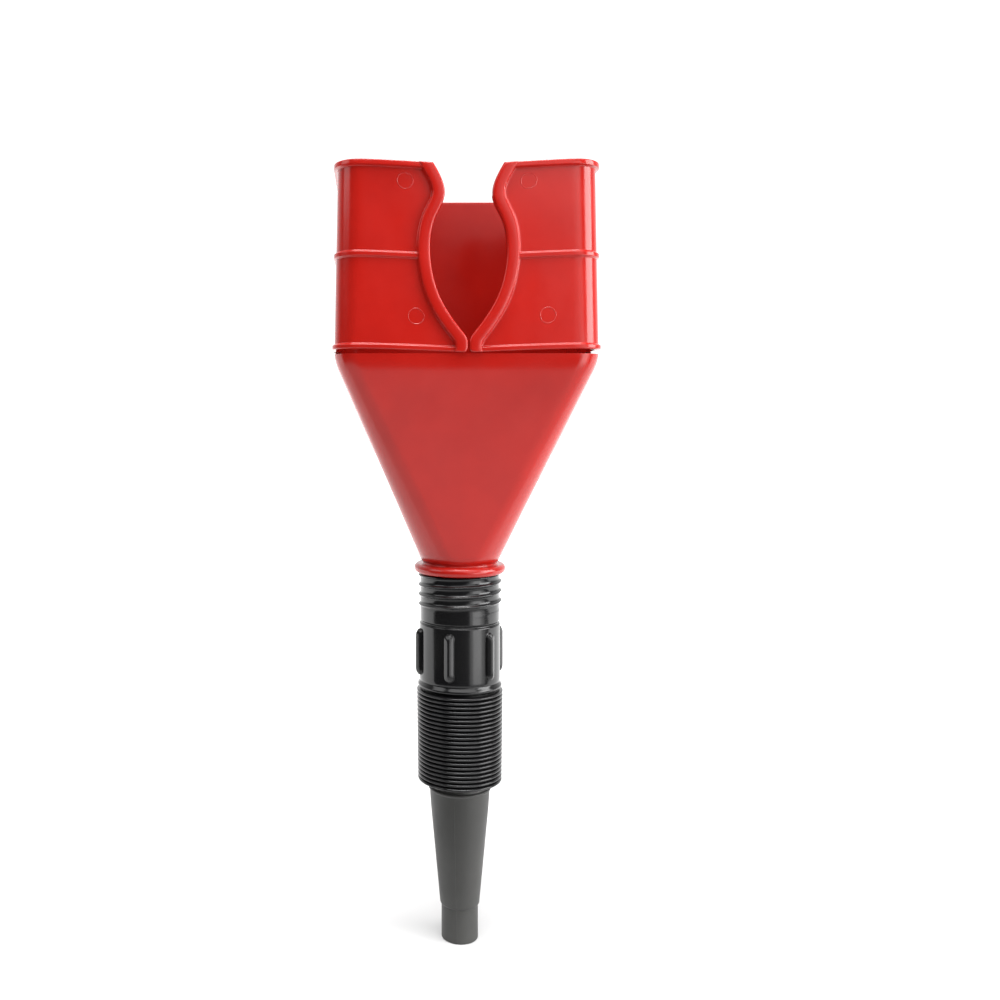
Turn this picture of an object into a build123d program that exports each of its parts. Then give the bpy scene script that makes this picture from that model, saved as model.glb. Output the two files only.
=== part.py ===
from build123d import *
import os

# A fuel and oil funnel, standing nozzle down on the Z axis. Millimetres.
# Z = 0 is the mouth of the nozzle, and -Y is the front, where the slot is.

# Heights, from the nozzle's mouth upwards
TIP_TOP_Z = 14.4
NOZZLE_TOP_Z = 65.9
BELLOWS_TOP_Z = 104.2
COLLAR_BOTTOM_Z = 105.2
COLLAR_TOP_Z = 131.6
SLEEVE_TOP_Z = 152.1
BEAD_BOTTOM_Z = 152.4
BEAD_TOP_Z = 156.2
CONE_BOTTOM_Z = 157.7
SHOULDER_Z = 238.8
CONE_TOP_Z = 241.2
FLAP_BOTTOM_Z = 242.9
MID_RIB_Z = 279.2
RIM_Z = 315.0

# Hopper: a rounded rectangle, a little narrower at the rim
HALF_WIDTH_BOTTOM = 51.4
HALF_WIDTH_RIM = 50.0
HALF_DEPTH = 38.5
CORNER_R = 9.0
WALL = 1.8
RIM_LIP = 1.5
RIM_LIP_HEIGHT = 2.2
RIB_PROUD = 0.9
RIB_HEIGHT = 2.0

# Slot for a bottle's neck: half its outline, from the rim down, then the closed end
SLOT_TOP = (14.4, 316.5)
SLOT_THROAT = (9.1, 302.6)
SLOT_SHOULDER = (12.7, 293.6)
SLOT_BELLY = (14.5, 279.0)
SLOT_HIP = (10.8, 263.6)
SLOT_CLOSE = (1.0, 249.2)
LIP_GAP = 0.6
LIP_WIDTH = 4.9
LIP_PROUD = 2.0
LIP_INSIDE = 0.6
LIP_END_SEAT = 1.2

# Flaps: they bend about a vertical line in each side wall
HINGE_Y = -16.0
HINGE_GAP = 0.3

# Neck
NECK_R = 16.3
NECK_WALL = 1.8
BEAD_R = 19.0
SPIGOT_R = 15.10
SPIGOT_BORE_R = 13.3
SPIGOT_BOTTOM_Z = 133.6

# Grip collar with its threaded sleeve
RUNNING_FIT = 0.06
SLEEVE_R = 16.5
THREAD_R = 17.1
THREAD_PITCH = 4.0
THREAD_HALF_WIDTH = 0.8
THREAD_TURNS = 4
THREAD_FIRST_Z = 138.7
COLLAR_R = 16.8
COLLAR_BORE_R = 14.5
CUFF_R = 15.6
FLANGE_R = 17.6
FLANGE_HEIGHT = 1.6
GRIP_R = 18.8
GRIP_WIDTH = 4.3
GRIP_LENGTH = 19.4
GRIP_COUNT = 6
GRIP_FIRST_DEG = -108.0
GRIP_MIDDLE_Z = 120.3

# Bellows
FOLD_COUNT = 22
FOLD_GAP = 0.08
CREST_R_TOP = 17.95
CREST_R_BOTTOM = 17.45
FOLD_DEPTH = 2.6
FOLD_WALL = 0.6
FOLD_CREST_WALL = 0.9

# Nozzle
NOZZLE_TOP_R = 12.5
NOZZLE_STEP_R = 8.15
NOZZLE_WALL = 1.5
TIP_R = 7.6
TIP_BORE_R = 6.0
SHOULDER_R = 15.1
SHOULDER_THICK = 1.5


def revolved(points):
    """A solid of revolution about Z from (radius, height) points."""
    outline = Polyline([(r, 0, z) for r, z in points], close=True)
    return revolve(make_face(outline), Axis.Z, 360)


def rounded_plate(half_x, half_y, corner, z):
    return Pos(0, 0, z) * RectangleRounded(2 * half_x, 2 * half_y, corner)


def half_width(z):
    """Half the hopper's outer width at a height above the cone."""
    t = (z - SHOULDER_Z) / (RIM_Z - SHOULDER_Z)
    return HALF_WIDTH_BOTTOM + t * (HALF_WIDTH_RIM - HALF_WIDTH_BOTTOM)


def prism(z0, z1, grow):
    """The hopper's outer form between two heights, grown or shrunk by an offset."""
    ends = [
        rounded_plate(half_width(z) + grow, HALF_DEPTH + grow, CORNER_R + grow, z)
        for z in (z0, z1)
    ]
    return loft(ends)


def belt(z0, z1, proud):
    """A band round the hopper that stands proud of its wall."""
    return prism(z0, z1, proud) - prism(z0 - 1, z1 + 1, -WALL)


def walls():
    """The upright walls with the rim lip and both ribs, all the way round."""
    body = belt(SHOULDER_Z, RIM_Z, 0)
    body += belt(RIM_Z - RIM_LIP_HEIGHT, RIM_Z, RIM_LIP)
    body += belt(MID_RIB_Z - RIB_HEIGHT / 2, MID_RIB_Z + RIB_HEIGHT / 2, RIB_PROUD)
    body += belt(FLAP_BOTTOM_Z, FLAP_BOTTOM_Z + RIB_HEIGHT, RIB_PROUD)
    return body


def slot_curve():
    """The right edge of the slot, in the XZ plane, from the rim down."""
    points = [SLOT_TOP, SLOT_THROAT, SLOT_SHOULDER, SLOT_BELLY, SLOT_HIP, SLOT_CLOSE]
    return Spline([(x, 0, z) for x, z in points])


def outward(curve, t, distance):
    """A point beside the curve, on the side away from the slot."""
    tangent = curve % t
    point = curve @ t
    return (point.X - tangent.Z * distance, 0, point.Z + tangent.X * distance)


def through_front(face, y0, y1):
    """Extrudes a face drawn in the XZ plane from y0 back to y1."""
    return extrude(Pos(0, y0, 0) * face, amount=y1 - y0, dir=(0, 1, 0))


def slot_void():
    """The right half of the slot, as a solid that cuts the front wall."""
    curve = slot_curve()
    top, close = curve @ 0, curve @ 1
    tail = LIP_GAP / 2
    foot = FLAP_BOTTOM_Z - 1
    sides = Polyline(
        close, (tail, 0, close.Z - 1.6), (tail, 0, foot), (-tail, 0, foot),
        (-tail, 0, top.Z), top,
    )
    return through_front(make_face([curve, sides]), -HALF_DEPTH - 5, -HALF_DEPTH + 8)


def lip():
    """The rib that borders the right edge of the slot."""
    curve = slot_curve()
    steps = 12
    beside = [outward(curve, i / steps, LIP_WIDTH) for i in range(steps + 1)]
    outer = Spline(beside)
    foot_z = FLAP_BOTTOM_Z + LIP_END_SEAT
    foot = Polyline(
        curve @ 1, (LIP_GAP / 2, 0, foot_z + 4), (LIP_GAP / 2, 0, foot_z),
        (LIP_GAP / 2 + LIP_WIDTH * 0.8, 0, foot_z), beside[-1],
    )
    band = make_face([curve, foot, outer, Line(beside[0], curve @ 0)])
    return through_front(band, -HALF_DEPTH - LIP_PROUD, -HALF_DEPTH + WALL + LIP_INSIDE)


def box_between(x, y, z):
    """A box from three (low, high) pairs."""
    size = [high - low for low, high in (x, y, z)]
    middle = [(high + low) / 2 for low, high in (x, y, z)]
    return Pos(*middle) * Box(*size)


def right_flap():
    """The right half of the split front: panel, corner, ribs and slot lip."""
    reach = HALF_WIDTH_BOTTOM + 10
    zone = box_between(
        (LIP_GAP / 2, reach),
        (-HALF_DEPTH - 10, HINGE_Y - HINGE_GAP / 2),
        (FLAP_BOTTOM_Z, RIM_Z),
    )
    return ((walls() + lip()) & zone) - slot_void()


def cone_form(shrink):
    """The loft from the hopper's rectangle to the round neck, as a full solid."""
    top = rounded_plate(
        HALF_WIDTH_BOTTOM - shrink, HALF_DEPTH - shrink, CORNER_R - shrink, SHOULDER_Z
    )
    radius = NECK_R - shrink
    bottom = rounded_plate(radius, radius, radius - 0.02, CONE_BOTTOM_Z)
    return loft([bottom, top])


def cone():
    return cone_form(0) - cone_form(WALL)


def neck():
    """The beaded neck, with the spigot that the sleeve screws on."""
    middle = (BEAD_BOTTOM_Z + BEAD_TOP_Z) / 2
    bore = NECK_R - NECK_WALL
    return revolved([
        (SPIGOT_BORE_R, SPIGOT_BOTTOM_Z),
        (SPIGOT_R - 0.6, SPIGOT_BOTTOM_Z),
        (SPIGOT_R, SPIGOT_BOTTOM_Z + 0.8),
        (SPIGOT_R, BEAD_BOTTOM_Z),
        (BEAD_R - 1.5, BEAD_BOTTOM_Z),
        (BEAD_R - 0.35, BEAD_BOTTOM_Z + 0.8),
        (BEAD_R, middle),
        (BEAD_R - 0.35, BEAD_TOP_Z - 0.8),
        (BEAD_R - 1.5, BEAD_TOP_Z),
        (NECK_R, CONE_BOTTOM_Z),
        (NECK_R, CONE_BOTTOM_Z + 0.05),
        (bore, CONE_BOTTOM_Z + 0.05),
        (SPIGOT_BORE_R, CONE_BOTTOM_Z - 6),
    ])


def hopper():
    """Back and side walls, cone and neck, open at the front above the cone."""
    reach = HALF_WIDTH_BOTTOM + 10
    front = box_between(
        (-reach, reach),
        (-HALF_DEPTH - 10, HINGE_Y + HINGE_GAP / 2),
        (CONE_TOP_Z, RIM_Z + 1),
    )
    return (walls() - front) + cone() + neck()


def grip_rib(angle):
    """One rib of the collar, with a ridged top and sloped ends."""
    root = COLLAR_R - 0.6
    half = GRIP_WIDTH / 2
    section = Polyline(
        (root, -half), (COLLAR_R + 0.5, -half), (GRIP_R, -half * 0.35),
        (GRIP_R, half * 0.35), (COLLAR_R + 0.5, half), (root, half),
        close=True,
    )
    rib = extrude(make_face(section), amount=GRIP_LENGTH)
    ends = [e for e in rib.edges().filter_by(Plane.XY) if e.center().X > GRIP_R - 0.1]
    rib = chamfer(ends, 1.0)
    return Rot(0, 0, angle) * (Pos(0, 0, GRIP_MIDDLE_Z - GRIP_LENGTH / 2) * rib)


def grip_collar():
    """Threaded sleeve and ribbed collar in one moulding."""
    bore = SPIGOT_R + RUNNING_FIT
    outline = [
        (bore, SPIGOT_BOTTOM_Z - 1.5),
        (COLLAR_BORE_R, SPIGOT_BOTTOM_Z - 2.5),
        (COLLAR_BORE_R, BELLOWS_TOP_Z + FOLD_GAP / 2),
        (CUFF_R, BELLOWS_TOP_Z + FOLD_GAP / 2),
        (CUFF_R, COLLAR_BOTTOM_Z),
        (FLANGE_R - 0.4, COLLAR_BOTTOM_Z),
        (FLANGE_R, COLLAR_BOTTOM_Z + 0.4),
        (FLANGE_R, COLLAR_BOTTOM_Z + FLANGE_HEIGHT),
        (COLLAR_R, COLLAR_BOTTOM_Z + FLANGE_HEIGHT + 1.2),
        (COLLAR_R, COLLAR_TOP_Z - 0.4),
        (COLLAR_R - 0.4, COLLAR_TOP_Z),
        (SLEEVE_R, COLLAR_TOP_Z),
    ]
    for turn in range(THREAD_TURNS):
        middle = THREAD_FIRST_Z + turn * THREAD_PITCH
        outline += [
            (SLEEVE_R, middle - THREAD_HALF_WIDTH),
            (THREAD_R, middle - THREAD_HALF_WIDTH / 3),
            (THREAD_R, middle + THREAD_HALF_WIDTH / 3),
            (SLEEVE_R, middle + THREAD_HALF_WIDTH),
        ]
    outline += [(SLEEVE_R, SLEEVE_TOP_Z), (bore, SLEEVE_TOP_Z)]
    body = revolved(outline)
    for index in range(GRIP_COUNT):
        body += grip_rib(GRIP_FIRST_DEG + index * 360 / GRIP_COUNT)
    return body


def fold(index):
    """One fold of the bellows: a crest between two half valleys."""
    pitch = (BELLOWS_TOP_Z - NOZZLE_TOP_Z) / FOLD_COUNT
    middle = BELLOWS_TOP_Z - (index + 0.5) * pitch
    share = index / (FOLD_COUNT - 1)
    crest = CREST_R_TOP + share * (CREST_R_BOTTOM - CREST_R_TOP)
    valley = crest - FOLD_DEPTH
    half = (pitch - FOLD_GAP) / 2
    return revolved([
        (valley - FOLD_WALL, middle - half),
        (valley, middle - half),
        (crest - 0.3, middle - 0.45),
        (crest, middle - 0.15),
        (crest, middle + 0.15),
        (crest - 0.3, middle + 0.45),
        (valley, middle + half),
        (valley - FOLD_WALL, middle + half),
        (crest - FOLD_CREST_WALL, middle),
    ])


def nozzle():
    """Shoulder, long taper and straight tip, bored through."""
    top = NOZZLE_TOP_Z - FOLD_GAP / 2
    under = top - SHOULDER_THICK
    return revolved([
        (TIP_BORE_R, 0),
        (TIP_R, 0),
        (TIP_R, TIP_TOP_Z),
        (NOZZLE_STEP_R, TIP_TOP_Z + 0.5),
        (NOZZLE_TOP_R, under),
        (SHOULDER_R, under),
        (SHOULDER_R, top),
        (NOZZLE_TOP_R - NOZZLE_WALL, top),
        (NOZZLE_STEP_R - NOZZLE_WALL, TIP_TOP_Z + 1.0),
        (TIP_BORE_R, TIP_TOP_Z),
    ])


def write(shape, node):
    export_step(shape, f"parts/{node}.step")


def main():
    os.makedirs("parts", exist_ok=True)
    write(hopper(), "hopper")
    flap = right_flap()
    write(flap, "right_flap")
    write(mirror(flap, about=Plane.YZ), "left_flap")
    write(grip_collar(), "grip_collar")
    for index in range(FOLD_COUNT):
        write(fold(index), f"bellows_fold_{index + 1:02d}")
    write(nozzle(), "nozzle")


main()
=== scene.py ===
"""Looks of the funnel: red hopper with springy flaps, black collar and bellows, grey nozzle."""
import math

import bmesh
import bpy
import numpy as np
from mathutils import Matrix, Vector


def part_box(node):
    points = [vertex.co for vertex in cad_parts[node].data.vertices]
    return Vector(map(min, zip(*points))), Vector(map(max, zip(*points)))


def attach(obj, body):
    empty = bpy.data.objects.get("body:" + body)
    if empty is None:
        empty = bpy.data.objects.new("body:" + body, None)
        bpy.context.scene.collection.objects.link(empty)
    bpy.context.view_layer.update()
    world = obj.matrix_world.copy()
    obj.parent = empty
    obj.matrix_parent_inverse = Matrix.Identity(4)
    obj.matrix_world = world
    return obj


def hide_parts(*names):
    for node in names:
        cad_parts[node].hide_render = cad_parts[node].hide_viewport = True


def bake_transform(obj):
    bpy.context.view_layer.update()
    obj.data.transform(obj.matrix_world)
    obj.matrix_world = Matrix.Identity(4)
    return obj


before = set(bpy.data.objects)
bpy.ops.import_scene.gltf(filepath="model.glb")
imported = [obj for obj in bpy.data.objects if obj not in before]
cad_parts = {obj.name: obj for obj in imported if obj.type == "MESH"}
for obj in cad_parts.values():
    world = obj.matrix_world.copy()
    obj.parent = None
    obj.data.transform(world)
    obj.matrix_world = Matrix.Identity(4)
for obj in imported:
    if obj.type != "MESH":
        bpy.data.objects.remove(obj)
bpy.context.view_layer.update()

MM = 0.001

# ---------------------------------------------------------------- sizes, in metres

HOPPER_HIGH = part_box("hopper")[1]
COLLAR_LOW, COLLAR_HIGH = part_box("grip_collar")
FLAP_LOW, FLAP_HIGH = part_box("right_flap")
TOP_FOLD_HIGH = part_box("bellows_fold_01")[1]
BOTTOM_FOLD_LOW, BOTTOM_FOLD_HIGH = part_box("bellows_fold_22")

RIM_Z = HOPPER_HIGH.z
WALL = 1.8 * MM
RIM_LIP = 1.5 * MM
RIM_LIP_HEIGHT = 2.2 * MM
RIB_PROUD = 0.9 * MM
RIB_HEIGHT = 2.0 * MM
HALF_WIDTH_BOTTOM = HOPPER_HIGH.x - RIB_PROUD
HALF_WIDTH_RIM = HALF_WIDTH_BOTTOM - 1.4 * MM
HALF_DEPTH = HOPPER_HIGH.y - RIM_LIP
CORNER_R = 9.0 * MM
FLAP_BOTTOM_Z = FLAP_LOW.z
CONE_TOP_Z = FLAP_BOTTOM_Z - 1.7 * MM
SHOULDER_Z = CONE_TOP_Z - 2.4 * MM
MID_RIB_Z = FLAP_BOTTOM_Z + 36.3 * MM
HINGE_Y = FLAP_HIGH.y + 0.15 * MM
EDGE_R = 0.5 * MM
LEDGE_FADE = 1.2 * MM  # height over which the foot rib grows out of the cone
DROOP = 1.5 * MM  # how far the flaps' free ends hang
DROOP_MORE_AT_RIM = 1.0 * MM

CONE_BOTTOM_Z = 157.7 * MM
NECK_R = 16.3 * MM
SHOULDER_BLEND = 0.055  # share of the cone's height that the soft shoulder takes

LIP_WIDTH = 4.7 * MM
LIP_PROUD = -HALF_DEPTH - FLAP_LOW.y
LIP_INSIDE = 0.6 * MM
LIP_GAP = 0.6 * MM
LIP_END_R = 1.7 * MM
LIP_CROWN = 0.16 * MM
LIP_EDGE_R = 0.75 * MM
LIP_STEP = 0.8 * MM
LIP_STEP_INSIDE = 1.2 * MM

MARK_R = 3.0 * MM
MARK_HALF_WIDTH = 0.2 * MM
MARK_HEIGHT = 0.1 * MM
MARKS = {
    "left": [(24.1 * MM, 307.6 * MM), (19.9 * MM, 256.0 * MM)],
    "right": [(23.0 * MM, 307.6 * MM), (30.3 * MM, 256.0 * MM)],
}

FOLD_COUNT = 22
BELLOWS_TOP_Z = TOP_FOLD_HIGH.z + 0.04 * MM
BELLOWS_BOTTOM_Z = BOTTOM_FOLD_LOW.z - 0.04 * MM
PITCH = (BELLOWS_TOP_Z - BELLOWS_BOTTOM_Z) / FOLD_COUNT
CREST_R_TOP = TOP_FOLD_HIGH.x
CREST_R_BOTTOM = BOTTOM_FOLD_HIGH.x
FOLD_DEPTH = 2.6 * MM
FOLD_WALL = 0.6 * MM
FOLD_BAND = 0.12 * MM  # FOLD_BAND = 0.12 * MM # half the height of the band in a valley between fold pairs
FOLD_FLATNESS = 2.6  # powers that shape a crest: 2 and 0.5 would make it an ellipse
FOLD_FULLNESS = 0.6

NUDGE = 1e-7  # keeps a height inside the first or last fold
HAIR = 0.01 * MM  # slack when heights and depths are compared
WELD = 0.004 * MM
FINE_STEP = 0.18 * MM
SOFT_EDGE = 0.7 * MM
FLAT_STEPS = 16
CORNER_STEPS = 12
PANEL_STEPS = 12
MARK_STEPS = 48
FOLD_ANGLES = 144


# ---------------------------------------------------------------- mesh helpers

def smooth(x):
    """A smooth step from 0 to 1."""
    x = np.clip(x, 0.0, 1.0)
    return x * x * (3 - 2 * x)


def plateau(x, half, ramp):
    """1 where |x| is under half, falling smoothly to 0 over ramp."""
    return 1 - smooth((np.abs(x) - half + ramp / 2) / ramp)


def spaced(low, high, step, fine=(), near=0.7 * MM):
    """Sorted stations from low to high, close together near the places in fine."""
    stations = list(np.linspace(low, high, max(2, int(round((high - low) / step)) + 1)))
    for place in fine:
        stations += list(np.arange(place - near, place + near + FINE_STEP / 2, FINE_STEP))
    stations = np.array(sorted(s for s in stations if low <= s <= high))
    keep = [stations[0]]
    for s in stations[1:-1]:
        if min(s - keep[-1], high - s) > FINE_STEP * 0.6:
            keep.append(s)
    return np.array(keep + [high])


class Builder:
    """Collects grids of points as one mesh, then welds what coincides."""

    def __init__(self):
        self.points = []
        self.faces = []

    def grid(self, rows, closed=False, flip=False):
        """rows is an array of (row, column, xyz)."""
        rows = np.asarray(rows, float)
        count, across = rows.shape[:2]
        base = len(self.points)
        self.points.extend(map(tuple, rows.reshape(-1, 3)))
        last = across if closed else across - 1
        for i in range(count - 1):
            for j in range(last):
                k = (j + 1) % across
                face = (
                    base + i * across + j, base + i * across + k,
                    base + (i + 1) * across + k, base + (i + 1) * across + j,
                )
                self.faces.append(face[::-1] if flip else face)

    def strip(self, first, second, flip=False):
        """One row of faces between two lines of points."""
        self.grid([first, second], flip=flip)

    def build(self, name, material, sharp=math.radians(50)):
        mesh = bpy.data.meshes.new(name)
        mesh.from_pydata(self.points, [], self.faces)
        obj = add_object(name, mesh)
        weld_mesh(mesh, WELD)
        for polygon in mesh.polygons:
            polygon.use_smooth = True
        mesh.set_sharp_from_angle(angle=sharp)
        mesh.materials.append(material)
        return obj


def add_object(name, data):
    obj = bpy.data.objects.new(name, data)
    bpy.context.scene.collection.objects.link(obj)
    return obj


def weld_mesh(mesh, distance):
    """Joins points that coincide and drops faces of no width."""
    work = bmesh.new()
    work.from_mesh(mesh)
    bmesh.ops.remove_doubles(work, verts=work.verts, dist=distance)
    bmesh.ops.dissolve_degenerate(work, edges=work.edges, dist=distance / 4)
    work.to_mesh(mesh)
    work.free()


def ring(radius, z, angles):
    """Points round the Z axis. radius and z are numbers, or one for each angle."""
    radius = np.broadcast_to(radius, angles.shape)
    z = np.broadcast_to(z, angles.shape)
    return np.stack([radius * np.cos(angles), radius * np.sin(angles), z], axis=-1)


# ---------------------------------------------------------------- hopper outline

def half_width(z):
    """Half the hopper's width at a height: it narrows towards the rim."""
    t = (z - SHOULDER_Z) / (RIM_Z - SHOULDER_Z)
    return HALF_WIDTH_BOTTOM + np.clip(t, 0, 1) * (HALF_WIDTH_RIM - HALF_WIDTH_BOTTOM)


FRONT, CORNER, SIDE, BACK_CORNER, BACK = range(5)
SPREAD_FRONT = math.radians(14)
SPREAD_SIDE = math.radians(10)


def outline_columns():
    """(stretch, share) pairs down the right half, from the front's middle to the back's."""
    flat = np.linspace(0, 1, FLAT_STEPS + 1)
    corner = np.linspace(0, 1, CORNER_STEPS + 1)
    columns = [(FRONT, u) for u in flat[:-1]]
    columns += [(CORNER, u) for u in corner[:-1]]
    columns += [(SIDE, u) for u in side_shares()[:-1]]
    columns += [(BACK_CORNER, u) for u in corner[:-1]]
    columns += [(BACK, u) for u in flat]
    return columns


def side_shares():
    """Shares along the side wall, one of which lies on the flap's hinge line."""
    hinge = (HINGE_Y + HALF_DEPTH - CORNER_R) / (2 * (HALF_DEPTH - CORNER_R))
    return list(np.linspace(0, hinge, 6)[:-1]) + list(np.linspace(hinge, 1, 9))


def outline_point(stretch, share, half_x, proud):
    """A point of the right half of the rounded rectangle, proud of the wall by an offset."""
    flat_x, flat_y = half_x - CORNER_R, HALF_DEPTH - CORNER_R
    radius = CORNER_R + proud
    if stretch == FRONT:
        return flat_x * share, -HALF_DEPTH - proud
    if stretch == CORNER:
        turn = math.radians(-90 + 90 * share)
        return flat_x + radius * np.cos(turn), -flat_y + radius * np.sin(turn)
    if stretch == SIDE:
        return half_x + proud, -flat_y + 2 * flat_y * share
    if stretch == BACK_CORNER:
        turn = math.radians(90 * share)
        return flat_x + radius * np.cos(turn), flat_y + radius * np.sin(turn)
    return flat_x * (1 - share), HALF_DEPTH + proud


def outline_angle(stretch, share):
    """Where that column meets the round neck, as an angle about Z."""
    stops = [
        -math.pi / 2, -math.pi / 2 + SPREAD_FRONT, -SPREAD_SIDE, SPREAD_SIDE,
        math.pi / 2 - SPREAD_FRONT, math.pi / 2,
    ]
    return stops[stretch] + share * (stops[stretch + 1] - stops[stretch])


def both_halves(right):
    """Closes the right half's columns with their mirror image."""
    left = right[..., -2:0:-1, :] * np.array([-1, 1, 1])
    return np.concatenate([right, left], axis=-2)


def wall_features(z):
    """How far the rim and the ribs stand proud of the wall at a height."""
    rim = RIM_LIP * smooth((z - RIM_Z + RIM_LIP_HEIGHT + EDGE_R / 2) / EDGE_R)
    middle = RIB_PROUD * plateau(z - MID_RIB_Z, RIB_HEIGHT / 2, SOFT_EDGE)
    foot = RIB_PROUD * plateau(z - FLAP_BOTTOM_Z - RIB_HEIGHT / 2, RIB_HEIGHT / 2, SOFT_EDGE)
    return np.maximum(np.maximum(rim, middle), foot)


def wall_levels(low):
    """Heights up the wall, close together at the edges of the rim and the ribs."""
    edges = [
        RIM_Z - RIM_LIP_HEIGHT, MID_RIB_Z - RIB_HEIGHT / 2, MID_RIB_Z + RIB_HEIGHT / 2,
        FLAP_BOTTOM_Z + RIB_HEIGHT, FLAP_BOTTOM_Z,
    ]
    return spaced(low, RIM_Z - EDGE_R, 1.5 * MM, edges)


def rounding(radius=EDGE_R, count=4):
    """(drop, inset) pairs round a free edge, from its side up to its end."""
    turns = np.linspace(0, math.pi / 2, count)
    return [(radius * (1 - math.sin(t)), radius * (1 - math.cos(t))) for t in turns]


def rounded_top(levels):
    """Levels with the rounded top edge added, and the inset at each."""
    heights = list(levels[:-1]) + [RIM_Z - drop for drop, _ in rounding()]
    insets = [0.0] * (len(levels) - 1) + [inset for _, inset in rounding()]
    return np.array(heights), np.array(insets)


# ---------------------------------------------------------------- hopper

def cone_profile():
    """Heights down the cone, with the outline's share of the way to the circle at each."""
    blend = SHOULDER_BLEND
    length = SHOULDER_Z - CONE_BOTTOM_Z
    top = (SHOULDER_Z - CONE_TOP_Z) / length
    below = 1.6 * blend
    shares = np.concatenate([np.linspace(top, below, 12)[:-1], np.linspace(below, 1, 26)])
    way = np.where(shares > blend, shares, np.clip(shares + blend, 0, None) ** 2 / (4 * blend))
    return SHOULDER_Z - shares * length, way


def cone_rows(proud):
    """Rows of the cone from its top to the round neck, for one face of its wall."""
    columns = outline_columns()
    rows = []
    angles = np.array([outline_angle(*c) for c in columns])
    top = np.array([outline_point(*c, HALF_WIDTH_BOTTOM, proud) for c in columns])
    foot = np.stack([np.cos(angles), np.sin(angles)], axis=1) * (NECK_R + proud)
    for z, across in zip(*cone_profile()):
        flat = top + across * (foot - top)
        rows.append(np.column_stack([flat, np.full(len(columns), z)]))
    return np.array(rows)


def neck_rows(profile):
    """Rows of the right half of a turned neck, from (radius, height) in millimetres."""
    columns = outline_columns()
    angles = np.array([outline_angle(*c) for c in columns])
    return np.array([ring(r * MM, z * MM, angles) for r, z in profile])


def arc_profile(centre_r, centre_z, radius_r, radius_z, start, stop, count):
    """Points of an elliptic arc in (radius, height), in millimetres."""
    turns = np.radians(np.linspace(start, stop, count))
    return [(centre_r + radius_r * math.cos(t), centre_z + radius_z * math.sin(t)) for t in turns]


def hopper_wall_rows(side):
    """One face of the upright wall behind the hinge line: side is 1 outside, -1 inside."""
    columns = [c for c in outline_columns() if in_fixed_wall(c)]
    heights, insets = rounded_top(wall_levels(CONE_TOP_Z))
    rows = []
    for z, inset in zip(heights, insets):
        fade = smooth((z - CONE_TOP_Z) / LEDGE_FADE)
        proud = wall_features(z) * fade - inset if side > 0 else inset - WALL
        flat = [outline_point(*c, half_width(z), proud) for c in columns]
        rows.append([(x, y, z) for x, y in flat])
    return np.array(rows)


def in_fixed_wall(column):
    """Whether a column of the outline belongs to the wall that stays, behind the hinge."""
    stretch, share = column
    if stretch in (FRONT, CORNER):
        return False
    return stretch != SIDE or outline_point(stretch, share, 0, 0)[1] > HINGE_Y - HAIR


def mirrored_span(right):
    """The right half's columns to the back's middle, then the left half's back to the front."""
    left = right[..., -2::-1, :] * np.array([-1, 1, 1])
    return np.concatenate([right, left], axis=-2)


# The neck as (radius, height) in millimetres, from the cone down to the spigot's end.
RECESS = [(16.05, 157.4), (15.6, 157.1), (15.4, 156.7)]
RECESS += [(15.4, 156.35), (15.6, 156.12), (16.3, 156.08)]
BEAD = arc_profile(17.3, 154.3, 1.72, 1.9, 88, -88, 15)
SPIGOT = [(16.4, 152.4), (15.1, 152.4), (15.1, 141.0), (15.1, 134.4), (14.7, 133.7), (14.3, 133.6)]
NECK_BORE = [
    (14.3, 154.0), (13.7, 152.2), (13.4, 151.0), (13.3, 149.0),
    (13.3, 134.6), (13.6, 133.7), (14.3, 133.6),
]


def close_wall(build, wall_out, wall_in):
    """Joins the wall's two sides along the rim, below the hinges and along the cone's front."""
    build.strip(wall_out[-1], wall_in[-1])
    below_flap = [i for i, row in enumerate(wall_out) if row[0, 2] < FLAP_BOTTOM_Z + HAIR]
    for column, flip in ((0, False), (-1, True)):
        build.strip(wall_out[below_flap, column], wall_in[below_flap, column], flip=flip)
    front = [i for i, c in enumerate(outline_columns()) if not in_fixed_wall(c)]
    front.append(front[-1] + 1)
    for sign, flip in ((1, True), (-1, False)):
        mirror = np.array([sign, 1, 1])
        outer, inner = cone_rows(0)[0, front], cone_rows(-WALL)[0, front]
        build.strip(outer * mirror, inner * mirror, flip=flip)


def make_hopper(material):
    build = Builder()
    outside = [cone_rows(0), neck_rows(RECESS + BEAD + SPIGOT)]
    inside = [cone_rows(-WALL), neck_rows(NECK_BORE)]
    build.grid(both_halves(np.concatenate(outside)), closed=True, flip=True)
    build.grid(both_halves(np.concatenate(inside)), closed=True)
    wall_out = mirrored_span(hopper_wall_rows(1))
    wall_in = mirrored_span(hopper_wall_rows(-1))
    build.grid(wall_out)
    build.grid(wall_in, flip=True)
    close_wall(build, wall_out, wall_in)
    return build.build("hopper_shell", material)


# ---------------------------------------------------------------- flaps

# The slot's right edge as (x, z): its mouth, throat, shoulder, belly, hip and where it closes.
SLOT_KNOTS = np.array([
    (14.4, 316.5), (9.1, 302.6), (12.7, 293.6), (14.5, 279.0), (10.8, 263.6), (1.0, 249.2),
]) * MM
SLOT_STEP = 0.12 * MM
SLOT_OVERRUN = 9 * MM
SLOT_CLOSING = 1.6 * MM


def slot_edge():
    """The slot's right edge as (x, z) points from above the rim to below the foot of the flap."""
    fine = spline_through(SLOT_KNOTS, 24)
    up = (fine[0] - fine[1]) / np.linalg.norm(fine[0] - fine[1])
    lead = fine[0] + up * SLOT_OVERRUN
    foot_x = LIP_GAP / 2
    foot = [(foot_x, SLOT_KNOTS[-1][1] - SLOT_CLOSING), (foot_x, FLAP_BOTTOM_Z - SLOT_OVERRUN)]
    return densify(np.array([lead, *fine, *foot]), SLOT_STEP)


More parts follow.
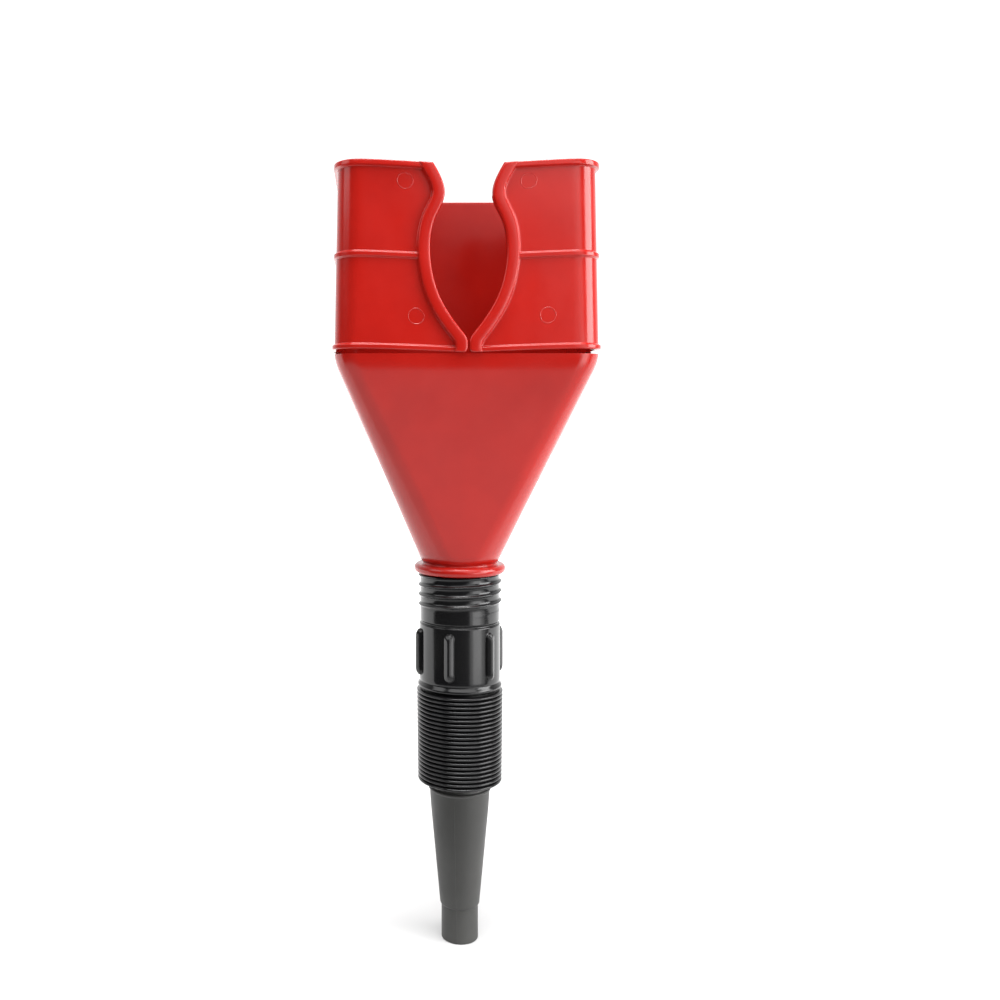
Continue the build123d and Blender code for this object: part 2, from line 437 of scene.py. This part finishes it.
def spline_through(knots, steps):
    """A natural cubic spline through the knots, by chord length."""
    chord = np.concatenate([[0], np.cumsum(np.linalg.norm(np.diff(knots, axis=0), axis=1))])
    count = len(knots)
    matrix, right = np.zeros((count, count)), np.zeros((count, 2))
    matrix[0, 0] = matrix[-1, -1] = 1
    h = np.diff(chord)
    for i in range(1, count - 1):
        matrix[i, i - 1], matrix[i, i], matrix[i, i + 1] = h[i - 1], 2 * (h[i - 1] + h[i]), h[i]
        right[i] = 6 * ((knots[i + 1] - knots[i]) / h[i] - (knots[i] - knots[i - 1]) / h[i - 1])
    second = np.linalg.solve(matrix, right)
    points = []
    for i in range(count - 1):
        for s in np.linspace(0, h[i], steps, endpoint=i == count - 2):
            a, b = (h[i] - s) / h[i], s / h[i]
            bend = ((a ** 3 - a) * second[i] + (b ** 3 - b) * second[i + 1]) * h[i] ** 2 / 6
            points.append(a * knots[i] + b * knots[i + 1] + bend)
    return np.array(points)


def densify(points, step):
    """The same line with a point at least about every step."""
    out = [points[0]]
    for a, b in zip(points[:-1], points[1:]):
        count = max(1, int(np.linalg.norm(b - a) / step))
        out += [a + (b - a) * (k + 1) / count for k in range(count)]
    return np.array(out)


def beside_slot(edge, distance, z):
    """x on the level z at that distance from the slot's edge, inside the flap."""
    rise = z - edge[:, 1]
    near = np.abs(rise) <= max(distance, SLOT_STEP + HAIR)
    reach = np.sqrt(np.maximum(distance ** 2 - rise[near] ** 2, 0))
    return float(np.max(edge[near, 0] + reach))


def lip_end_shift(z):
    """How far the lip's rounded lower end draws back from the middle."""
    up = np.clip((z - FLAP_BOTTOM_Z) / LIP_END_R, 0, 1)
    return LIP_END_R * (1 - math.sqrt(1 - (1 - up) ** 2))


def lip_distances():
    """Distances from the slot's edge, and the rounding inset at each."""
    rounds = rounding(LIP_EDGE_R, 6)[::-1]
    distances = [drop for drop, _ in rounds]
    insets = [inset for _, inset in rounds]
    flat = [1.1, 1.7, 2.4, 3.2]
    shoulder = [-0.5, -0.3, -0.15, 0.0, 0.15, 0.3, 0.5, 1.0, 1.8]
    more = [d * MM for d in flat] + [LIP_WIDTH + s * MM for s in shoulder]
    return distances + more, insets + [0.0] * len(more)


def lip_height(distance):
    """Height of the lip over the panel, a little crowned across."""
    across = 2 * distance / LIP_WIDTH - 1
    crown = LIP_CROWN * min(across ** 2, 1.0)
    return (LIP_PROUD - crown) * plateau(distance, LIP_WIDTH, LIP_STEP)


def droop(x, z):
    """The free ends of the flaps hang a little."""
    share = np.clip(1 - x / (HALF_WIDTH_RIM - CORNER_R), 0, 1)
    up = (z - FLAP_BOTTOM_Z) / (RIM_Z - FLAP_BOTTOM_Z)
    return (DROOP + DROOP_MORE_AT_RIM * up) * share ** 1.3


def flap_levels():
    """Heights up the flap with both its ends rounded, and the inset at each."""
    heights, insets = rounded_top(wall_levels(FLAP_BOTTOM_Z))
    foot = rounding()[::-1]
    above = heights > FLAP_BOTTOM_Z + EDGE_R + 0.05 * MM
    heights = np.concatenate([[FLAP_BOTTOM_Z + drop for drop, _ in foot], heights[above]])
    insets = np.concatenate([[inset for _, inset in foot], insets[above]])
    return heights, insets


def lip_points(edge, z, inset, side):
    """Points across the slot's lip at a height, on one face of the flap."""
    distances, edge_insets = lip_distances()
    shift = lip_end_shift(z)
    points = []
    for distance, edge_inset in zip(distances, edge_insets):
        x = beside_slot(edge, distance, z) + shift * (1 - distance / distances[-1])
        cut = min(LIP_EDGE_R, math.hypot(inset, edge_inset))
        if side > 0:
            y = -HALF_DEPTH - max(wall_features(z), lip_height(distance)) + cut
        else:
            inside = LIP_INSIDE * plateau(distance, LIP_WIDTH, LIP_STEP_INSIDE)
            y = -HALF_DEPTH + WALL + inside - cut
        points.append((x, y, z - droop(x, z)))
    return points


def panel_points(edge, z, inset, side):
    """Points from the lip across the flap's panel and round its corner to the hinge."""
    start = beside_slot(edge, lip_distances()[0][-1], z)
    proud = wall_features(z) - inset if side > 0 else inset - WALL
    flat_x = half_width(z) - CORNER_R
    points = []
    for share in np.linspace(0, 1, PANEL_STEPS + 1)[1:]:
        x = start + share * (flat_x - start)
        points.append((x, -HALF_DEPTH - proud, z - droop(x, z)))
    for share in np.linspace(0, 1, CORNER_STEPS + 1)[1:]:
        points.append((*outline_point(CORNER, share, half_width(z), proud), z))
    for share in [s for s in side_shares() if in_flap_side(s)][1:]:
        points.append((*outline_point(SIDE, share, half_width(z), proud), z))
    return points


def flap_rows(side):
    """The right flap's grid for one face: side is 1 outside, -1 inside."""
    edge = slot_edge()
    return np.array([
        lip_points(edge, z, inset, side) + panel_points(edge, z, inset, side)
        for z, inset in zip(*flap_levels())
    ])


def in_flap_side(share):
    """Whether a share along the side wall lies on the flap's side of the hinge."""
    return outline_point(SIDE, share, 0, 0)[1] < HINGE_Y + HAIR


def mark_rows(middle_x, middle_z):
    """The thin raised ring that a round ejector pin left on the panel, seen as the right flap's."""
    around = np.linspace(0, 2 * math.pi, MARK_STEPS + 1)[:-1]
    rows = []
    for across in np.linspace(-1, 1, 7):
        radius = MARK_R + MARK_HALF_WIDTH * across
        height = MARK_HEIGHT * (1.2 * math.cos(across * math.pi / 2) - 0.3)
        x, z = middle_x + radius * np.cos(around), middle_z + radius * np.sin(around)
        rows.append(np.stack([x, np.full_like(x, -HALF_DEPTH - height), z - droop(x, z)], axis=-1))
    return np.array(rows)


def make_flap(name, sign, marks, material):
    build = Builder()
    mirror = np.array([sign, 1, 1])
    outer, inner = flap_rows(1) * mirror, flap_rows(-1) * mirror
    turned = sign < 0
    for middle in marks:
        build.grid(mark_rows(*middle) * mirror, closed=True, flip=not turned)
    build.grid(outer, flip=turned)
    build.grid(inner, flip=not turned)
    build.strip(outer[:, 0], inner[:, 0], flip=turned)
    build.strip(outer[-1], inner[-1], flip=turned)
    build.strip(outer[0], inner[0], flip=not turned)
    return build.build(name, material)


# ---------------------------------------------------------------- spout

def full_turn(count, fine=(), half=0.0, steps=0):
    """Angles round the axis, in radians, close together about some directions in degrees."""
    angles = list(np.linspace(0, 360, count, endpoint=False))
    for middle in fine:
        angles += list(np.linspace(middle - half, middle + half, steps) % 360)
    return np.radians(np.unique(np.round(np.array(angles) % 360, 3)))


def lathe(build, profile, angles, flip=False):
    """Turns a (radius, height) profile in metres about the axis."""
    build.grid([ring(r, z, angles) for r, z in profile], closed=True, flip=flip)


GRIP_COUNT = 6
GRIP_FIRST_DEG = -109.3
GRIP_LENGTH = 19.4 * MM
GRIP_HALF_WIDTH = 2.15 * MM
GRIP_PROUD = 2.2 * MM
GRIP_MIDDLE_Z = 119.7 * MM
GABLE_SIDE = 0.14
GABLE_FOOT = 0.34
COLLAR_R = 16.75 * MM
COLLAR_PLAIN = (109.6 * MM, 130.9 * MM)
SLEEVE_LOW_Z = 132.9 * MM
SLEEVE_R = 16.45 * MM
COLLAR_TOP_Z = 131.6 * MM
THREAD_PITCH = 4.0 * MM
THREAD_HEIGHT = 0.95 * MM
THREAD_START_Z = 135.9 * MM
THREAD_RUN_IN = 4.0 * MM
THREAD_PHASE_Z = 145.2 * MM
COLLAR_BORE_R = 14.5 * MM
SLEEVE_BORE_R = 15.17 * MM
SLEEVE_END = 0.3 * MM


def thread_height(angles, z):
    """Height of the right-hand thread's ridge over the sleeve: a narrow crest on a wide foot."""
    turn = np.mod(angles, 2 * math.pi) / (2 * math.pi)
    middle = THREAD_PHASE_Z + THREAD_PITCH * turn
    off = np.mod(z - middle + THREAD_PITCH / 2, THREAD_PITCH) - THREAD_PITCH / 2
    fade = smooth((z - off - THREAD_START_Z) / THREAD_RUN_IN)
    crest = 0.78 * np.exp(-(off / (0.55 * MM)) ** 2)
    foot = 0.22 * np.exp(-(off / (1.3 * MM)) ** 2)
    return THREAD_HEIGHT * fade * (crest + foot)


def grip_height(angles, z):
    """Height of the gable-shaped grip ribs over the collar."""
    total = np.zeros_like(angles)
    for index in range(GRIP_COUNT):
        middle = math.radians(GRIP_FIRST_DEG + index * 360 / GRIP_COUNT)
        turn = np.mod(angles - middle + math.pi, 2 * math.pi) - math.pi
        along = max(0.0, abs(z - GRIP_MIDDLE_Z) - GRIP_LENGTH / 2 + GRIP_HALF_WIDTH)
        off = np.hypot(turn * COLLAR_R, along) / GRIP_HALF_WIDTH
        side = smooth((1.0 - off) / GABLE_SIDE)
        roof = 1.05 - np.sqrt(np.clip(off, 0, 1) ** 2 + 0.012)
        gable = GABLE_FOOT + (1 - GABLE_FOOT) * roof
        total = np.maximum(total, GRIP_PROUD * side * gable)
    return total


# Turned outlines as (radius, height) in millimetres.
COLLAR_FOOT = [(15.1, COLLAR_LOW.z / MM), (15.25, COLLAR_LOW.z / MM + 0.4)]
COLLAR_FOOT += [(15.25, 104.9), (15.4, 105.15), (16.4, 105.2)]
FLANGE = arc_profile(16.9, 106.0, 0.62, 0.8, -85, 50, 9)
FLANGE += [(17.05, 107.0), (16.75, 107.45), (16.62, 107.75)]
FLANGE += [(16.6, 108.0), (16.7, 108.3), (16.75, 108.8)]
COLLAR_EDGE = arc_profile(16.3, 131.0, 0.45, 0.6, 0, 90, 7)
COLLAR_EDGE += [(16.1, 131.62), (15.95, 131.75), (15.9, 132.0), (16.05, 132.35), (16.35, 132.7)]


def in_metres(outline):
    return [(r * MM, z * MM) for r, z in outline]


def collar_profile():
    """(radius, height) of the collar and sleeve, without thread and ribs."""
    ends = [GRIP_MIDDLE_Z + side * (GRIP_LENGTH / 2 - 0.5 * MM) for side in (-1, 1)]
    levels = spaced(*COLLAR_PLAIN, 1.0 * MM, ends, near=1.1 * MM)
    profile = in_metres(COLLAR_FOOT + FLANGE)
    profile += [(COLLAR_R, z) for z in levels]
    profile += in_metres(COLLAR_EDGE)
    sleeve = np.arange(SLEEVE_LOW_Z, COLLAR_HIGH.z - SLEEVE_END, 0.2 * MM)
    profile += [(SLEEVE_R, z) for z in sleeve]
    profile.append((SLEEVE_R - 0.1 * MM, COLLAR_HIGH.z - 0.1 * MM))
    profile.append((SLEEVE_R - 0.35 * MM, COLLAR_HIGH.z))
    return profile


def make_collar(material):
    build = Builder()
    directions = [GRIP_FIRST_DEG + index * 360 / GRIP_COUNT for index in range(GRIP_COUNT)]
    angles = full_turn(240, directions, half=8.4, steps=47)
    rows = []
    for radius, z in collar_profile():
        if z > COLLAR_TOP_Z + 0.5 * MM:
            fade = smooth((COLLAR_HIGH.z - z) / SLEEVE_END)
            radius = radius + thread_height(angles, z) * fade
        elif abs(z - GRIP_MIDDLE_Z) < GRIP_LENGTH / 2 + 1 * MM:
            radius = radius + grip_height(angles, z)
        rows.append(ring(radius, z, angles))
    build.grid(rows, closed=True)
    inside = [
        (SLEEVE_R - 0.35 * MM, COLLAR_HIGH.z), (SLEEVE_BORE_R, COLLAR_HIGH.z),
        (SLEEVE_BORE_R, 132.1 * MM), (COLLAR_BORE_R, 131.1 * MM),
        (COLLAR_BORE_R, COLLAR_LOW.z), (15.1 * MM, COLLAR_LOW.z),
    ]
    lathe(build, inside, angles)
    return build.build("collar_shell", material, sharp=math.radians(60))


def crest_radius(z):
    """The crests' radius at a height: they shrink a little towards the nozzle."""
    share = (BELLOWS_TOP_Z - z) / (BELLOWS_TOP_Z - BELLOWS_BOTTOM_Z)
    return CREST_R_TOP + share * (CREST_R_BOTTOM - CREST_R_TOP)


def fold_radius(z):
    """The wavy outside of the bellows: round crests, narrow valleys, as deep beyond either end."""
    z = min(max(z, BELLOWS_BOTTOM_Z + NUDGE), BELLOWS_TOP_Z - NUDGE)
    along = (z - BELLOWS_BOTTOM_Z) / PITCH
    off = (along - np.floor(along) - 0.5) * 2
    shape = np.maximum(1 - np.abs(off) ** FOLD_FLATNESS, 0) ** FOLD_FULLNESS
    return float(crest_radius(z) - FOLD_DEPTH * (1 - shape))


def fold_levels(low, high):
    """Heights through the folds, close together at crests and valleys."""
    turns = np.linspace(0, math.pi, 15)
    shares = (1 - np.cos(turns)) / 2
    levels = []
    first = int(round((low - BELLOWS_BOTTOM_Z) / PITCH))
    last = int(round((high - BELLOWS_BOTTOM_Z) / PITCH))
    for index in range(first, last):
        levels += list(BELLOWS_BOTTOM_Z + (index + shares) * PITCH)
    inner = sorted(z for z in set(levels) if low + 2 * HAIR < z < high - 2 * HAIR)
    return np.array([low] + inner + [high])


def fold_tube(name, levels, material):
    """A thin tube of the bellows through those heights."""
    build = Builder()
    angles = full_turn(FOLD_ANGLES)
    lathe(build, [(fold_radius(z), z) for z in levels], angles)
    lathe(build, [(fold_radius(z) - FOLD_WALL, z) for z in levels], angles, flip=True)
    return build.build(name, material, sharp=math.radians(180))


def fold_body(index):
    """The body of the ridge with that index, counted from the nozzle up."""
    if index < 0:
        return "nozzle"
    return "collar" if index >= FOLD_COUNT else f"fold_{FOLD_COUNT - index:02d}"


def make_bellows(material):
    """Pairs of folds, and a narrow band at each valley between them, as separate pieces."""
    pieces = []
    for index in range(0, FOLD_COUNT, 2):
        low = BELLOWS_BOTTOM_Z + index * PITCH + FOLD_BAND
        high = BELLOWS_BOTTOM_Z + (index + 2) * PITCH - FOLD_BAND
        name = f"bellows_pair_{index // 2 + 1:02d}"
        piece = fold_tube(name, fold_levels(low, high), material)
        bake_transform(piece)
        nodes = [f"bellows_{fold_body(k)}" for k in (index, index + 1)]
        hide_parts(*nodes)
        pieces.append(piece)
    for index in range(0, FOLD_COUNT + 1, 2):
        middle = BELLOWS_BOTTOM_Z + index * PITCH
        low, high = middle - FOLD_BAND, middle + FOLD_BAND
        name = f"bellows_valley_{index // 2 + 1:02d}"
        band = fold_tube(name, np.linspace(low, high, 9), material)
        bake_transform(band)
        pieces.append(band)
    return pieces


# The nozzle's outside from its end up, and its bore from the taper down, in millimetres.
NOZZLE_TIP = arc_profile(7.2, 0.4, 0.4, 0.4, -90, 0, 5)
NOZZLE_TIP += [(7.6, z) for z in (2.0, 5.0, 9.0, 12.5, 13.9)]
NOZZLE_STEP = [(7.63, 14.15), (7.75, 14.35), (8.0, 14.5), (8.15, 14.75)]
NOZZLE_TAPER = [(8.2 + s * 3.8, 15.0 + s * 40.1) for s in np.linspace(0, 1, 13)]
NOZZLE_TAPER += [(12.28, 59.0), (12.42, 61.6)]
NOZZLE_LIP = [(12.5, 62.0), (12.72, 62.25), (12.95, 62.5), (13.0, 62.8)]
NOZZLE_LIP += [(12.9, 63.1), (12.6, 63.25)]
NOZZLE_GROOVE = [(12.2, 63.3), (12.0, 63.5), (12.0, 64.3), (12.4, 64.6)]
NOZZLE_GROOVE += [(14.6, 65.1), (14.95, 65.3)]
NOZZLE_BORE = [(6.65, 15.4), (6.0, 14.4), (6.0, 0.5), (6.3, 0.1), (6.7, 0.0), (7.2, 0.0)]
SEAM_DEGREES = (-106.0, 74.0)
SEAM_HEIGHT = 0.07 * MM
SEAM_HALF_WIDTH = 0.13 * MM
SEAM_LOW_Z = 0.4 * MM
SEAM_HIGH_Z = 62.0 * MM


def seam_height(angles, radius, z):
    """Height of the fine parting lines down both sides of the nozzle."""
    line = np.zeros_like(angles)
    for seam in np.radians(SEAM_DEGREES):
        turn = np.mod(angles - seam + math.pi, 2 * math.pi) - math.pi
        line = line + np.exp(-(turn * radius / SEAM_HALF_WIDTH) ** 2)
    fade = smooth((SEAM_HIGH_Z - z) / (2 * MM)) * smooth((z - SEAM_LOW_Z) / (1 * MM))
    return SEAM_HEIGHT * line * fade


def make_nozzle(material):
    build = Builder()
    angles = full_turn(160, SEAM_DEGREES, half=3.0, steps=25)
    top = BELLOWS_BOTTOM_Z - FOLD_BAND
    outer = in_metres(NOZZLE_TIP + NOZZLE_STEP + NOZZLE_TAPER + NOZZLE_LIP + NOZZLE_GROOVE)
    outer.append((fold_radius(top), top))
    rows = [ring(radius + seam_height(angles, radius, z), z, angles) for radius, z in outer]
    build.grid(rows, closed=True)
    lathe(build, [(fold_radius(top), top), (11.0 * MM, top), *in_metres(NOZZLE_BORE)], angles)
    return build.build("nozzle_shell", material)


# ---------------------------------------------------------------- materials

PLASTIC_IOR = 1.49
CLOUD_STOPS = (0.36, 0.66)
SKIN_DEPTH = 0.00006
FLOW_STRENGTH = 0.25
FLOW_DEPTH = 0.0004


def noise(tree, scale, detail, rough=0.55, stretch=(1, 1, 1)):
    """Noise over the object's own space."""
    place = tree.nodes.new("ShaderNodeTexCoord")
    mapping = tree.nodes.new("ShaderNodeMapping")
    mapping.inputs["Scale"].default_value = stretch
    texture = tree.nodes.new("ShaderNodeTexNoise")
    texture.inputs["Scale"].default_value = scale
    texture.inputs["Detail"].default_value = detail
    texture.inputs["Roughness"].default_value = rough
    tree.links.new(place.outputs["Object"], mapping.inputs["Vector"])
    tree.links.new(mapping.outputs["Vector"], texture.inputs["Vector"])
    return texture.outputs["Fac"]


def remapped(tree, source, start, stop, low, high, interpolation="LINEAR"):
    """The source's stretch from start to stop, spread over low to high."""
    node = tree.nodes.new("ShaderNodeMapRange")
    node.interpolation_type = interpolation
    node.inputs["From Min"].default_value = start
    node.inputs["From Max"].default_value = stop
    node.inputs["To Min"].default_value = low
    node.inputs["To Max"].default_value = high
    tree.links.new(source, node.inputs["Value"])
    return node.outputs["Result"]


def bump(tree, height, strength, distance):
    """A bump node with that height, left open for a normal under it."""
    node = tree.nodes.new("ShaderNodeBump")
    node.inputs["Strength"].default_value = strength
    node.inputs["Distance"].default_value = distance
    tree.links.new(height, node.inputs["Height"])
    return node


def moulded(name, low, high, roughness, skin, grain):
    """Moulded plastic: a colour that clouds between two, uneven gloss and a fine skin."""
    material = bpy.data.materials.new(name)
    material.use_nodes = True
    tree = material.node_tree
    shader = tree.nodes["Principled BSDF"]
    shader.inputs["IOR"].default_value = PLASTIC_IOR
    tones = tree.nodes.new("ShaderNodeValToRGB")
    for element, position, colour in zip(tones.color_ramp.elements, CLOUD_STOPS, (low, high)):
        element.position = position
        element.color = (*colour, 1)
    tree.links.new(noise(tree, 28, 4), tones.inputs["Fac"])
    tree.links.new(tones.outputs["Color"], shader.inputs["Base Color"])
    gloss = remapped(tree, noise(tree, 90, 4, stretch=(1, 1, 0.45)), 0.3, 0.7, *roughness)
    tree.links.new(gloss, shader.inputs["Roughness"])
    surface = bump(tree, noise(tree, grain, 5, 0.6), skin, SKIN_DEPTH)
    flow = bump(tree, noise(tree, 38, 2, 0.4), FLOW_STRENGTH, FLOW_DEPTH)
    tree.links.new(flow.outputs["Normal"], surface.inputs["Normal"])
    tree.links.new(surface.outputs["Normal"], shader.inputs["Normal"])
    return material


# ---------------------------------------------------------------- stage

FLOOR_REACH = 6.0
FLOOR_FRONT = 0.06
CAMERA_PLACE = (-0.036, -0.4186, 0.2158)
CAMERA_SHIFT = (0.1263, -0.080)


def make_stage():
    """A plain pale floor that reaches past every view, with a painted glow: it emits light, dim
    close round the nozzle and brighter further out.
    """
    mesh = bpy.data.meshes.new("floor")
    reach, front = FLOOR_REACH, FLOOR_FRONT
    corners = [(-reach, -front, 0), (reach, -front, 0), (reach, reach, 0), (-reach, reach, 0)]
    mesh.from_pydata(corners, [], [(0, 1, 2, 3)])
    floor = add_object("floor", mesh)
    material = bpy.data.materials.new("pale_floor_painted_glow")
    material.use_nodes = True
    tree = material.node_tree
    shader = tree.nodes["Principled BSDF"]
    shader.inputs["Base Color"].default_value = (0.5, 0.5, 0.5, 1)
    shader.inputs["Roughness"].default_value = 0.9
    shader.inputs["Specular IOR Level"].default_value = 0.1
    # Painted glow: the floor emits white light, from 0.15 at 0.1 m from its middle up to 1.2 at 0.9
    # m, so it shows white far off while staying dimmer round the nozzle.
    shader.inputs["Emission Color"].default_value = (1, 1, 1, 1)
    place = tree.nodes.new("ShaderNodeTexCoord")
    away = tree.nodes.new("ShaderNodeVectorMath")
    away.operation = "LENGTH"
    tree.links.new(place.outputs["Object"], away.inputs[0])
    fade = remapped(tree, away.outputs["Value"], 0.1, 0.9, 0.15, 1.2)
    tree.links.new(fade, shader.inputs["Emission Strength"])
    mesh.materials.append(material)


def make_world():
    """White behind the object, below it and to the camera, dim in front, where the room is."""
    world = bpy.data.worlds.new("studio")
    world.use_nodes = True
    tree = world.node_tree
    background = tree.nodes["Background"]
    background.inputs["Color"].default_value = (1, 1, 1, 1)
    place = tree.nodes.new("ShaderNodeTexCoord")
    split = tree.nodes.new("ShaderNodeSeparateXYZ")
    tree.links.new(place.outputs["Generated"], split.inputs["Vector"])
    behind = remapped(tree, split.outputs["Y"], 0.0, 0.85, 0.03, 1.3, "SMOOTHSTEP")
    below = remapped(tree, split.outputs["Z"], -0.37, -0.48, 0.03, 1.1, "SMOOTHSTEP")
    brighter = tree.nodes.new("ShaderNodeMath")
    brighter.operation = "MAXIMUM"
    tree.links.new(behind, brighter.inputs[0])
    tree.links.new(below, brighter.inputs[1])
    path = tree.nodes.new("ShaderNodeLightPath")
    pick = tree.nodes.new("ShaderNodeMix")
    pick.data_type = "FLOAT"
    tree.links.new(path.outputs["Is Camera Ray"], pick.inputs[0])
    tree.links.new(brighter.outputs[0], pick.inputs[2])
    pick.inputs[3].default_value = 1.2
    tree.links.new(pick.outputs[0], background.inputs["Strength"])
    bpy.context.scene.world = world


def softbox(name, bearing, distance, height, size, radiance, target=(0, 0, 0.19)):
    """A soft panel at a bearing in degrees right of the front, aimed at a target."""
    turn = math.radians(bearing)
    place = (distance * math.sin(turn), -distance * math.cos(turn), height)
    light = bpy.data.lights.new(name, "AREA")
    light.shape = "RECTANGLE"
    light.size, light.size_y = size
    light.energy = radiance * math.pi * size[0] * size[1]
    panel = add_object(name, light)
    panel.location = place
    panel.rotation_euler = (Vector(target) - Vector(place)).to_track_quat("-Z", "Y").to_euler()
    panel.visible_camera = False


def make_light():
    """Panels on the right for the bright corner and the black parts, weaker ones high in front."""
    make_world()
    softbox("right_wide", 47, 1.10, 0.00, (0.95, 0.60), 1.6, (0, 0, 0))
    softbox("right_soft", 46, 1.08, 0.05, (0.50, 0.50), 2.6, (0, 0, 0.05))
    softbox("right_edge", 72, 1.10, 0.58, (0.76, 0.80), 8.0, (0, 0, 0.35))
    softbox("left_high", -72, 1.20, 0.90, (0.80, 0.70), 2.4)
    softbox("veil_high", 16, 1.20, 0.70, (0.56, 0.34), 1.2)
    softbox("veil_right", 25, 1.20, 0.40, (0.46, 0.50), 1.2)
    softbox("top_front", 6, 0.64, 1.20, (1.50, 1.00), 2.6)
    sun = bpy.data.lights.new("overhead", "SUN")
    sun.energy = 4.2
    sun.angle = math.radians(35)
    overhead = add_object("overhead", sun)
    overhead.rotation_euler = (math.radians(5), 0, 0)


def make_camera():
    """Level, a little left of the middle, square to the hopper's front."""
    data = bpy.data.cameras.new("camera")
    data.sensor_width = 36
    data.lens = 36
    data.shift_x, data.shift_y = CAMERA_SHIFT
    camera = add_object("camera", data)
    camera.location = CAMERA_PLACE
    camera.rotation_euler = (math.pi / 2, 0, 0)
    bpy.context.scene.camera = camera
    bpy.context.scene.view_settings.view_transform = "Standard"


# ---------------------------------------------------------------- the scene

red = moulded(
    "red_polypropylene", low=(0.39, 0.009, 0.0055), high=(0.46, 0.012, 0.0075),
    roughness=(0.15, 0.24), skin=0.08, grain=900,
)
black = moulded(
    "black_polyethylene", low=(0.006, 0.006, 0.007), high=(0.010, 0.010, 0.010),
    roughness=(0.12, 0.22), skin=0.10, grain=1100,
)
grey = moulded(
    "grey_polyethylene", low=(0.036, 0.036, 0.034), high=(0.050, 0.050, 0.047),
    roughness=(0.40, 0.55), skin=0.5, grain=1500,
)

hopper = make_hopper(red)
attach(hopper, "hopper")
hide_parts("hopper")

for label, sign in (("left", -1), ("right", 1)):
    flap = make_flap(f"{label}_flap_shell", sign, MARKS[label], red)
    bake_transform(flap)
    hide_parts(f"{label}_flap")

collar = make_collar(black)
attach(collar, "collar")
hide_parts("grip_collar")

for piece in make_bellows(black):
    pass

nozzle = make_nozzle(grey)
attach(nozzle, "nozzle")
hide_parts("nozzle")

make_stage()
make_light()
make_camera()
